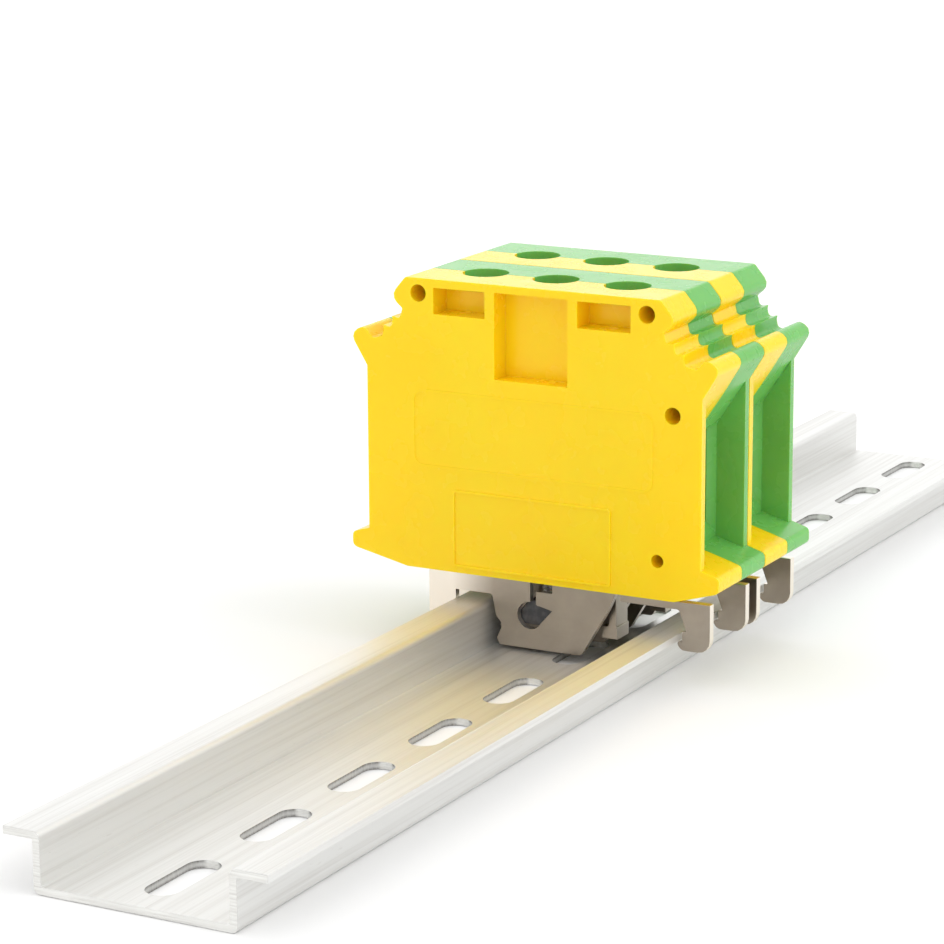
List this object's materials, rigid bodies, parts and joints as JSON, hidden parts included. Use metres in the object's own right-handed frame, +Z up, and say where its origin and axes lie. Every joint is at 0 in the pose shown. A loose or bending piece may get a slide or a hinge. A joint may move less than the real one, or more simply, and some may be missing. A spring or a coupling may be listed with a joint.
{
  "type": "rail-mounted terminal blocks",
  "caption": "Yellow and green protective-earth terminal blocks clamped by metal rail feet to a slotted top-hat mounting rail",
  "frame": {"origin": "on the surface the rail lies on, in the middle of the blocks' width and halfway along the rail", "axes": "+X across the rail, +Y along the rail, +Z up out of the mounting surface towards the screw holes"},
  "size_m": [0.0558, 0.24, 0.0526],
  "materials": {
    "rail_aluminium": "drawn satin aluminium",
    "yellow_polyamide": "fine moulded satin",
    "green_polyamide": "fine moulded satin",
    "tinned_copper": "satin tin plate",
    "zinc_steel": "bright zinc plate",
    "nickel_steel": "satin nickel plate with bright sheared edges",
    "blackened_steel": "phosphated and oiled, nearly black"
  },
  "bodies": {
    "rail": {"mounting_rail": "rail_aluminium"},
    "front_block": {"front_yellow_shell": "yellow_polyamide", "front_green_shell": "green_polyamide", "front_current_bar": "tinned_copper", "front_contact_sleeve": "tinned_copper", "front_fixed_claw": "nickel_steel"},
    "front_left_clamp_screw": {"front_left_clamp_screw": "zinc_steel"},
    "front_left_clamp_cage": {"front_left_clamp_cage": "zinc_steel"},
    "front_right_clamp_screw": {"front_right_clamp_screw": "zinc_steel"},
    "front_right_clamp_cage": {"front_right_clamp_cage": "zinc_steel"},
    "front_foot_screw": {"front_foot_screw": "zinc_steel"},
    "front_wedge_nut": {"front_wedge_nut": "blackened_steel"},
    "front_moving_claw": {"front_moving_claw": "nickel_steel"},
    "rear_block": {"rear_yellow_shell": "yellow_polyamide", "rear_green_shell": "green_polyamide", "rear_current_bar": "tinned_copper", "rear_contact_sleeve": "tinned_copper", "rear_fixed_claw": "nickel_steel"},
    "rear_left_clamp_screw": {"rear_left_clamp_screw": "zinc_steel"},
    "rear_left_clamp_cage": {"rear_left_clamp_cage": "zinc_steel"},
    "rear_right_clamp_screw": {"rear_right_clamp_screw": "zinc_steel"},
    "rear_right_clamp_cage": {"rear_right_clamp_cage": "zinc_steel"},
    "rear_foot_screw": {"rear_foot_screw": "zinc_steel"},
    "rear_wedge_nut": {"rear_wedge_nut": "blackened_steel"},
    "rear_moving_claw": {"rear_moving_claw": "nickel_steel"}
  },
  "joints": [
    {"name": "front_block_slide", "type": "slide", "parent": "rail", "child": "front_block", "axis": [0, 1, 0], "range_m": [-0.1, 0]},
    {"name": "front_left_clamp_cage_lift", "type": "slide", "parent": "front_block", "child": "front_left_clamp_cage", "axis": [0, 0, 1], "range_m": [0, 0.008]},
    {"name": "front_left_clamp_screw_turn", "type": "hinge", "parent": "front_block", "child": "front_left_clamp_screw", "pos_m": [-0.01072, -0.00915, 0.0496], "axis": [0, 0, 1], "range_deg": [0, 2881]},
    {"name": "front_right_clamp_cage_lift", "type": "slide", "parent": "front_block", "child": "front_right_clamp_cage", "axis": [0, 0, 1], "range_m": [0, 0.008]},
    {"name": "front_right_clamp_screw_turn", "type": "hinge", "parent": "front_block", "child": "front_right_clamp_screw", "pos_m": [0.01072, -0.00915, 0.0496], "axis": [0, 0, 1], "range_deg": [0, 2881]},
    {"name": "front_wedge_nut_lift", "type": "slide", "parent": "front_block", "child": "front_wedge_nut", "axis": [0, 0, 1], "range_m": [-0.0025, 0]},
    {"name": "front_foot_screw_turn", "type": "hinge", "parent": "front_block", "child": "front_foot_screw", "pos_m": [0, -0.00915, 0.0381], "axis": [0, 0, 1], "range_deg": [-1286, 0]},
    {"name": "front_moving_claw_slide", "type": "slide", "parent": "front_block", "child": "front_moving_claw", "axis": [1, 0, 0], "range_m": [0, 0.00201]},
    {"name": "rear_block_slide", "type": "slide", "parent": "rail", "child": "rear_block", "axis": [0, 1, 0], "range_m": [0, 0.1]},
    {"name": "rear_left_clamp_cage_lift", "type": "slide", "parent": "rear_block", "child": "rear_left_clamp_cage", "axis": [0, 0, 1], "range_m": [0, 0.008]},
    {"name": "rear_left_clamp_screw_turn", "type": "hinge", "parent": "rear_block", "child": "rear_left_clamp_screw", "pos_m": [-0.01072, 0.00615, 0.0496], "axis": [0, 0, 1], "range_deg": [0, 2881]},
    {"name": "rear_right_clamp_cage_lift", "type": "slide", "parent": "rear_block", "child": "rear_right_clamp_cage", "axis": [0, 0, 1], "range_m": [0, 0.008]},
    {"name": "rear_right_clamp_screw_turn", "type": "hinge", "parent": "rear_block", "child": "rear_right_clamp_screw", "pos_m": [0.01072, 0.00615, 0.0496], "axis": [0, 0, 1], "range_deg": [0, 2881]},
    {"name": "rear_wedge_nut_lift", "type": "slide", "parent": "rear_block", "child": "rear_wedge_nut", "axis": [0, 0, 1], "range_m": [-0.0025, 0]},
    {"name": "rear_foot_screw_turn", "type": "hinge", "parent": "rear_block", "child": "rear_foot_screw", "pos_m": [0, 0.00615, 0.0381], "axis": [0, 0, 1], "range_deg": [-1286, 0]},
    {"name": "rear_moving_claw_slide", "type": "slide", "parent": "rear_block", "child": "rear_moving_claw", "axis": [1, 0, 0], "range_m": [0, 0.00201]}
  ],
  "couplings": [
    {"joint": "front_left_clamp_screw_turn", "follows": "front_left_clamp_cage_lift", "rad_per_m": 6283.2},
    {"joint": "front_right_clamp_screw_turn", "follows": "front_right_clamp_cage_lift", "rad_per_m": 6283.2},
    {"joint": "front_foot_screw_turn", "follows": "front_wedge_nut_lift", "rad_per_m": 8976},
    {"joint": "front_moving_claw_slide", "follows": "front_wedge_nut_lift", "ratio": -0.8},
    {"joint": "rear_left_clamp_screw_turn", "follows": "rear_left_clamp_cage_lift", "rad_per_m": 6283.2},
    {"joint": "rear_right_clamp_screw_turn", "follows": "rear_right_clamp_cage_lift", "rad_per_m": 6283.2},
    {"joint": "rear_foot_screw_turn", "follows": "rear_wedge_nut_lift", "rad_per_m": 8976},
    {"joint": "rear_moving_claw_slide", "follows": "rear_wedge_nut_lift", "ratio": -0.8}
  ]
}
